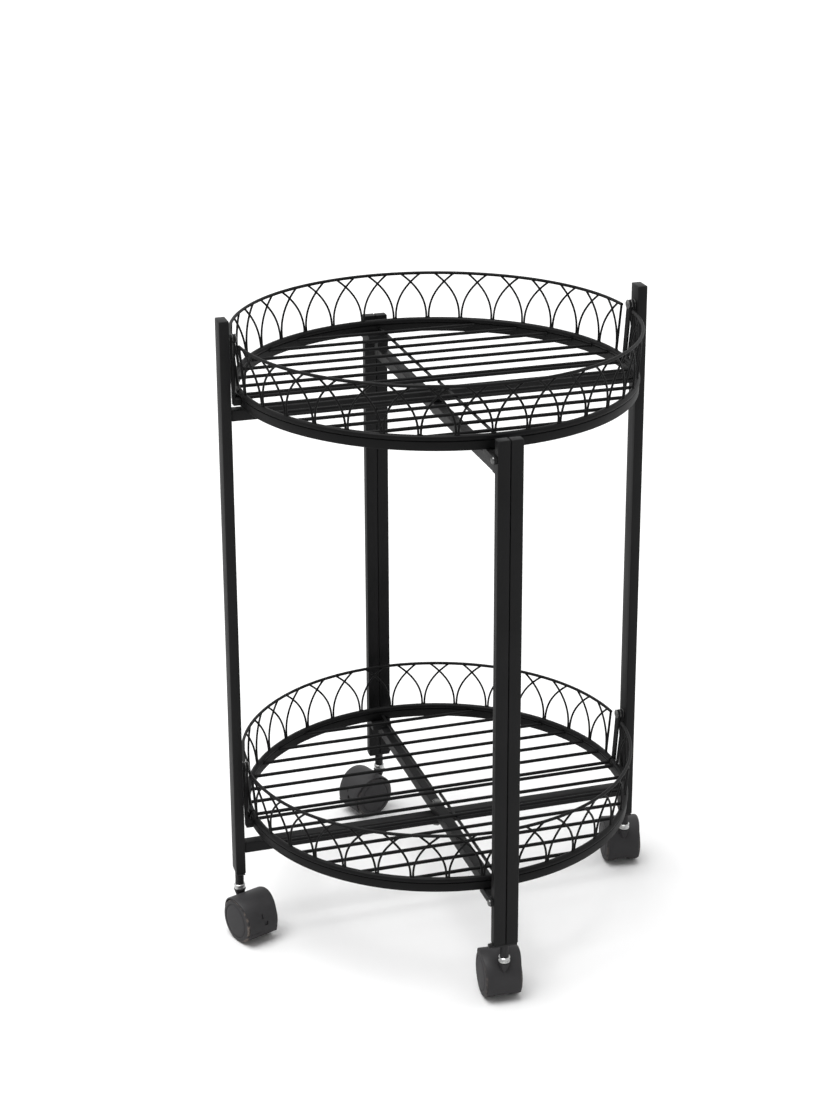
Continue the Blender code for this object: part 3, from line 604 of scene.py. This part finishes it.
# %% Sizes of the rivets and bolts
SHANK = 0.0022
RIVET_HEAD = 0.0018
RIVET_TAIL = 0.0012
RIVET_WASHERS = (0.0044, 0.0078)  # from the outer face of the head
RIVET_WASHER_THICK = 0.0008
YOKE_HEAD = 0.002
YOKE_NUT_RADIUS = 0.0035
YOKE_NUT_THICK = 0.0024
HEX_HIGH = 0.0019
CROSSING_WASHER = 0.0005
CROSSING_SHANK = 0.0058
print("shanks:", round(SHANK * 2000, 1), "and", round(CROSSING_SHANK * 1000, 1), "mm thick")


# %% Spin a turned part
def spin_profile(bm, profile, steps=32):
    """Spins (radius, height) points about Z; the profile starts and ends on the axis."""
    chain = [bm.verts.new((radius, 0, height)) for radius, height in profile]
    links = [bm.edges.new(pair) for pair in zip(chain, chain[1:])]
    bmesh.ops.spin(
        bm, geom=chain + links, cent=(0, 0, 0), axis=(0, 0, 1), angle=2 * math.pi, steps=steps, use_merge=True
    )
    bmesh.ops.remove_doubles(bm, verts=bm.verts, dist=1e-6)


def laid_along_x(node, turn=0.0):
    """Takes a part made along Z to the middle of a solid, lying along X and turned about Z."""
    place = Matrix.Translation(middle_of(node)) @ Matrix.Rotation(turn, 4, "Z")
    return place @ Matrix.Rotation(math.pi / 2, 4, "Y")


def make_hinge_rivet(tier, side_name):
    node = f"hinge_rivet_{tier}_{side_name}"
    low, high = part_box(node)
    half = (high.x - low.x) / 2
    wide = (high.z - low.z) / 2
    head = [(0, -half), (wide * 0.45, -half + 0.0001), (wide * 0.8, -half + 0.0006), (wide, -half + 0.0013)]
    head += [(wide, -half + RIVET_HEAD), (SHANK, -half + RIVET_HEAD)]
    middle = []
    for start in (-half + washer for washer in RIVET_WASHERS):
        middle += [(SHANK, start), (wide * 0.97, start), (wide, start + 0.0002), (wide, start + 0.0006)]
        middle += [(wide * 0.97, start + RIVET_WASHER_THICK), (SHANK, start + RIVET_WASHER_THICK)]
    tail = [(SHANK, half - RIVET_TAIL), (0.003, half - RIVET_TAIL), (0.0026, half), (0, half)]
    bm = bmesh.new()
    spin_profile(bm, head + middle + tail)
    turn = 0 if side_name == "right" else math.pi
    bmesh.ops.transform(bm, matrix=laid_along_x(node, turn), verts=bm.verts)
    bmesh.ops.recalc_face_normals(bm, faces=bm.faces)
    return finish_piece(bm, f"rivet_{tier}_{side_name}", "main_frame", dark_zinc, [node])


def make_yoke_bolt(end, tier):
    node = f"yoke_bolt_{end}_{tier}"
    low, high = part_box(node)
    half = (high.x - low.x) / 2
    wide = (high.z - low.z) / 2
    bm = bmesh.new()
    head = [(0, -half), (wide * 0.55, -half + 0.0001), (wide * 0.85, -half + 0.0006), (wide, -half + 0.0014)]
    head += [(wide, -half + YOKE_HEAD), (SHANK, -half + YOKE_HEAD)]
    nut = [(SHANK, half - YOKE_NUT_THICK), (YOKE_NUT_RADIUS, half - YOKE_NUT_THICK)]
    nut += [(YOKE_NUT_RADIUS, half - 0.0003), (0.003, half), (0, half)]
    spin_profile(bm, head + nut)
    bmesh.ops.transform(bm, matrix=laid_along_x(node), verts=bm.verts)
    bmesh.ops.recalc_face_normals(bm, faces=bm.faces)
    return finish_piece(bm, f"bolt_{end}_{tier}", "cross_frame", dark_zinc, [node])


def make_pivot_bolt(tier):
    node = f"pivot_bolt_{tier}"
    low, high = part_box(node)
    wide = (high.x - low.x) / 2
    tall = high.z - low.z
    bm = bmesh.new()
    for bottom in (low.z, high.z - HEX_HIGH):
        hexagon = bmesh.ops.create_cone(
            bm, cap_ends=True, cap_tris=False, segments=6, radius1=wide * 0.9, radius2=wide * 0.9, depth=HEX_HIGH
        )["verts"]
        bmesh.ops.translate(bm, vec=(0, 0, bottom + HEX_HIGH / 2), verts=hexagon)
    for bottom in (low.z + HEX_HIGH, high.z - HEX_HIGH - CROSSING_WASHER):
        washer = bmesh.ops.create_cone(
            bm, cap_ends=True, cap_tris=False, segments=32, radius1=wide, radius2=wide, depth=CROSSING_WASHER
        )["verts"]
        bmesh.ops.translate(bm, vec=(0, 0, bottom + CROSSING_WASHER / 2), verts=washer)
    add_wire(bm, (0, 0, low.z + 0.001), (0, 0, low.z + tall - 0.001), CROSSING_SHANK, 24)
    rims = [edge for edge in bm.edges if edge.calc_face_angle(0) > SHARP]
    bmesh.ops.bevel(bm, geom=rims, offset=0.0002, segments=2, profile=0.5, affect="EDGES", material=-1)
    bmesh.ops.translate(bm, vec=pivot, verts=bm.verts)
    return finish_piece(bm, f"crossing_bolt_{tier}", "main_frame", dark_zinc, [node])


for tier in ("lower", "upper"):
    make_pivot_bolt(tier)
    for side_name in ("left", "right"):
        make_hinge_rivet(tier, side_name)
    for end in ("front", "back"):
        make_yoke_bolt(end, tier)
print("rivets and bolts ready")

# %% [markdown]
# ## Casters
#
# A twin-wheel caster is a moulded hood over two wheels, with a steel stem that swivels in the plug of the leg. Its
# own frame makes it easy to model: the stem's axis is Z and the wheels trail towards +X. One matrix then takes all
# its parts to the leg it belongs to. The frame's stem and axle tell where that is and which way it trails.

# %% Find each caster
WHEEL_RADIUS = 0.023


def caster_place(corner):
    stem = middle_of(f"caster_{corner}_stem")
    axle = middle_of(f"caster_{corner}_axle")
    angle = math.atan2(axle.y - stem.y, axle.x - stem.x)
    return Matrix.Translation((stem.x, stem.y, 0)) @ Matrix.Rotation(angle, 4, "Z"), angle


stem_at = middle_of("caster_left_stem")
axle_at = middle_of("caster_left_axle")
trail = math.hypot(axle_at.x - stem_at.x, axle_at.y - stem_at.y)
corners = ("left", "front", "right", "back")
print("trail:", round(trail * 1000, 2), "mm")

# %% [markdown]
# ### Wheels
#
# Each wheel is one spun profile: a gently domed disc, a shallow groove, and a tread with rounded shoulders. The
# plastic on its shoulder is scuffed paler where it meets kerbs and skirting. That wear is a ring, so the material
# measures the distance from the axle. A Mapping node moves the wheel's centre to the origin and turns its axle to Z.


# %% Wheel finish with a worn shoulder
def worn_wheel_plastic(name, centre, angle, wear):
    made = moulded_plastic(name, 0.023)
    tree = made.node_tree
    shader = tree.nodes["Principled BSDF"]
    base = shader.inputs["Base Color"].links[0].from_socket
    where = next(node for node in tree.nodes if node.type == "TEX_COORD").outputs["Object"]
    centring = tree.nodes.new("ShaderNodeMapping")
    centring.vector_type = "TEXTURE"
    centring.inputs["Location"].default_value = centre
    centring.inputs["Rotation"].default_value = (math.pi / 2, 0, angle)
    tree.links.new(where, centring.inputs["Vector"])
    flat = tree.nodes.new("ShaderNodeVectorMath")
    flat.operation = "MULTIPLY"
    flat.inputs[1].default_value = (1, 1, 0)
    tree.links.new(centring.outputs["Vector"], flat.inputs[0])
    reach = tree.nodes.new("ShaderNodeVectorMath")
    reach.operation = "LENGTH"
    tree.links.new(flat.outputs["Vector"], reach.inputs[0])
    ring = add_range(tree, reach.outputs["Value"], 0, 1, WHEEL_RADIUS - 0.0022, WHEEL_RADIUS - 0.0008)
    patches = add_range(tree, add_noise(tree, where, 260, detail=5), 0, wear, 0.42, 0.62)
    amount = tree.nodes.new("ShaderNodeMath")
    amount.operation = "MULTIPLY"
    tree.links.new(ring, amount.inputs[0])
    tree.links.new(patches, amount.inputs[1])
    tree.links.new(add_blend(tree, amount.outputs["Value"], base, (0.16, 0.13, 0.11)), shader.inputs["Base Color"])
    return made


# %% Spin the wheels
WHEEL_INNER = 0.006
WHEEL_OUTER = 0.0188
WHEEL_CROWN = 0.0009
WHEEL_BORE = 0.0026
DISC_RADIUS = 0.016


def wheel_profile(inner, outer, crown):
    edge = WHEEL_RADIUS
    face = [(0, outer + crown)]
    face += [(DISC_RADIUS * i / 6, outer + crown * (1 - (i / 6) ** 2 * 0.55)) for i in range(1, 7)]
    groove = [(0.0166, outer + crown * 0.2), (0.0172, outer - 0.0004)]
    groove += [(0.0178, outer - 0.0004), (0.0184, outer + 0.0003)]
    shoulder = [(edge - 0.0022, outer), (edge - 0.0009, outer - 0.0004), (edge - 0.0002, outer - 0.0012)]
    tread = [(edge, outer - 0.0024), (edge, inner + 0.0022), (edge - 0.0003, inner + 0.0009), (edge - 0.0013, inner)]
    return face + groove + shoulder + tread + [(WHEEL_BORE, inner), (WHEEL_BORE, outer - 0.002), (0, outer - 0.002)]


def make_wheel(corner, label):
    node = f"caster_{corner}_wheel_{label}"
    place, angle = caster_place(corner)
    way = 1 if label == "a" else -1
    bm = bmesh.new()
    spin_profile(bm, wheel_profile(WHEEL_INNER, WHEEL_OUTER, WHEEL_CROWN), 64)
    tilt = Matrix.Rotation(-way * math.pi / 2, 4, "X")
    bmesh.ops.transform(bm, matrix=place @ Matrix.Translation((trail, 0, WHEEL_RADIUS)) @ tilt, verts=bm.verts)
    bmesh.ops.recalc_face_normals(bm, faces=bm.faces)
    centre = place @ Vector((trail, 0, WHEEL_RADIUS))
    plastic = worn_wheel_plastic(f"{corner}_wheel_{label}_plastic", centre, angle, 1.0 if corner == "left" else 0.35)
    return finish_piece(bm, f"wheel_{corner}_{label}", node, plastic, [node])


for corner in corners:
    for label in ("a", "b"):
        wheel = make_wheel(corner, label)
print("one wheel:", triangles(wheel), "triangles")

# %% [markdown]
# ### Hoods
#
# The hood is a shell of constant thickness, so one cross-section spun part of a turn about the axle makes it and
# leaves the bottom open for the wheels. Its rims are drawn in at the front and back, where more of the tread shows.
# A web between the wheels carries the axle, and a tapered boss on the stem side takes the stem. A square hole and
# a short slot go through the trailing side, and a shallow raised step runs along the hem beside them.

# %% Sizes of the hood
HOOD_INNER = WHEEL_RADIUS + 0.0007
HOOD_OUTER = HOOD_INNER + 0.0016
HOOD_HALF = 0.020
WEB_HALF = 0.0042
BOSS_RADIUS = 0.00625
BOSS_TOP = 0.0463
BOSS_TALL = 0.0125
BOSS_TAPER = 0.33
HEM = 0.0104
HOOD_SOFT = 0.0009
DRAWN_IN = 0.19
STEP_THICK = 0.0004


# %% Mould a hood
def spin_hood_shell(bm):
    hem_turn = math.asin((WHEEL_RADIUS - HEM) / HOOD_OUTER)
    section = [(HOOD_INNER, HOOD_HALF - 0.0004), (HOOD_INNER + 0.0004, HOOD_HALF)]
    section += [(HOOD_OUTER - HOOD_SOFT, HOOD_HALF), (HOOD_OUTER - HOOD_SOFT * 0.3, HOOD_HALF - HOOD_SOFT * 0.3)]
    section += [(HOOD_OUTER, HOOD_HALF - HOOD_SOFT), (HOOD_OUTER, HOOD_HALF * 0.5)]
    loop = section + [(radius, -width) for radius, width in reversed(section)]
    corners = [bm.verts.new((radius, width, 0)) for radius, width in loop]
    face = bm.faces.new(corners)
    bmesh.ops.rotate(bm, cent=(0, 0, 0), matrix=Matrix.Rotation(hem_turn, 3, "Y"), verts=bm.verts)
    sweep = math.pi + 2 * hem_turn
    bmesh.ops.spin(bm, geom=[face], cent=(0, 0, 0), axis=(0, -1, 0), angle=sweep, steps=72)
    for vert in bm.verts:
        if abs(vert.co.y) > HOOD_HALF * 0.7:
            vert.co.y *= 1 - DRAWN_IN * (vert.co.x / HOOD_OUTER) ** 2


def add_web(bm):
    made = bmesh.ops.create_cone(
        bm, cap_ends=True, cap_tris=False, segments=64, radius1=HOOD_INNER + 0.0005, radius2=HOOD_INNER + 0.0005,
        depth=2 * WEB_HALF, matrix=Matrix.Rotation(math.pi / 2, 4, "X"),
    )["verts"]
    faces = {face for vert in made for face in vert.link_faces}
    edges = {edge for vert in made for edge in vert.link_edges}
    cut = bmesh.ops.bisect_plane(
        bm, geom=list(made) + list(edges) + list(faces), plane_co=(0, 0, HEM - WHEEL_RADIUS), plane_no=(0, 0, -1),
        clear_outer=True,
    )["geom_cut"]
    bmesh.ops.contextual_create(bm, geom=[item for item in cut if isinstance(item, bmesh.types.BMEdge)])


def add_boss(bm):
    where = Matrix.Translation((-trail, 0, BOSS_TOP - WHEEL_RADIUS - BOSS_TALL / 2))
    bmesh.ops.create_cone(
        bm, cap_ends=True, cap_tris=False, segments=40, radius1=BOSS_RADIUS - BOSS_TALL * BOSS_TAPER,
        radius2=BOSS_RADIUS, depth=BOSS_TALL, matrix=where,
    )


def add_block(bm, turn, width, size):
    """A block on the shell, at an angle up from the trailing side and a distance along the axle."""
    where = Matrix.Rotation(-turn, 4, "Y") @ Matrix.Translation((HOOD_OUTER, width, 0))
    bmesh.ops.create_cube(bm, size=1.0, matrix=where @ Matrix.Diagonal((*size, 1)))


def cut_windows(hood):
    """Cuts the square hole and the slot through the trailing side of the shell."""
    bm = bmesh.new()
    add_block(bm, math.radians(4), 0.0025, (0.0036, 0.0042, 0.0042))
    add_block(bm, math.radians(22), -0.001, (0.0036, 0.0014, 0.0052))
    mesh = bpy.data.meshes.new("hood_windows")
    bm.to_mesh(mesh)
    bm.free()
    windows = bpy.data.objects.new("hood_windows", mesh)
    bpy.context.scene.collection.objects.link(windows)
    drill = hood.modifiers.new("windows", "BOOLEAN")
    drill.operation = "DIFFERENCE"
    drill.solver = "EXACT"
    drill.object = windows
    graph = bpy.context.evaluated_depsgraph_get()
    drilled = bpy.data.meshes.new_from_object(hood.evaluated_get(graph))
    hood.modifiers.remove(drill)
    bpy.data.objects.remove(windows)
    bm = bmesh.new()
    bm.from_mesh(drilled)
    return bm


def make_hood(corner):
    node = f"caster_{corner}_hood"
    place, _ = caster_place(corner)
    bm = bmesh.new()
    spin_hood_shell(bm)
    bmesh.ops.recalc_face_normals(bm, faces=bm.faces)
    shell_mesh = bpy.data.meshes.new("hood_shell")
    bm.to_mesh(shell_mesh)
    bm.free()
    shell = bpy.data.objects.new("hood_shell", shell_mesh)
    bpy.context.scene.collection.objects.link(shell)
    bm = cut_windows(shell)
    bpy.data.objects.remove(shell)
    add_block(bm, math.radians(-20), -0.010, (STEP_THICK, 0.014, 0.0036))
    add_web(bm)
    add_boss(bm)
    bmesh.ops.recalc_face_normals(bm, faces=bm.faces)
    bmesh.ops.transform(bm, matrix=place @ Matrix.Translation((trail, 0, WHEEL_RADIUS)), verts=bm.verts)
    return finish_piece(bm, f"hood_{corner}", f"caster_{corner}", hood_plastic, [node])


for corner in corners:
    hood = make_hood(corner)
print("one hood:", triangles(hood), "triangles")

# %% [markdown]
# ### Stems, plugs and axles
#
# The stem is a turned steel pin fixed in the hood, and its foot is tapered so that the boss hides it. It swivels with
# the hood in the black plug that closes the tube of the leg, and its double collar lies between the two. The axles
# keep their engineering shape and only take the zinc finish.


# %% Turn the stems
COLLAR_RADIUS = 0.0115 / 2
COLLAR_LOW, COLLAR_HIGH = 0.0466, 0.0523
PIN_RADIUS = 0.00225
STEM_RADIUS = 0.003


def make_stem(corner):
    node = f"caster_{corner}_stem"
    low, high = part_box(node)
    place, _ = caster_place(corner)
    collar, under, over = COLLAR_RADIUS, COLLAR_LOW, COLLAR_HIGH
    profile = [(0, low.z), (0.001, low.z), (0.0014, 0.036), (STEM_RADIUS, 0.0395), (STEM_RADIUS, under)]
    profile += [(collar - 0.0005, under), (collar, under + 0.0005)]
    profile += [(collar, under + 0.0016), (collar - 0.0011, under + 0.0021), (collar - 0.0011, over - 0.0021)]
    profile += [(collar, over - 0.0016), (collar, over - 0.0005), (collar - 0.0006, over), (PIN_RADIUS, over)]
    profile += [(PIN_RADIUS, high.z - 0.0005), (0.0017, high.z), (0, high.z)]
    bm = bmesh.new()
    spin_profile(bm, profile)
    bmesh.ops.transform(bm, matrix=place, verts=bm.verts)
    bmesh.ops.recalc_face_normals(bm, faces=bm.faces)
    return finish_piece(bm, f"stem_{corner}", f"caster_{corner}", zinc, [node])


for corner in corners:
    make_stem(corner)
    softened(f"caster_{corner}_socket", f"plug_{corner}", PLUG_ROUND, SMALL_EDGE, plug_plastic)
    axle = nodes[f"caster_{corner}_axle"]
    axle.data.materials.clear()
    axle.data.materials.append(zinc)
print("stems, plugs and axles ready")
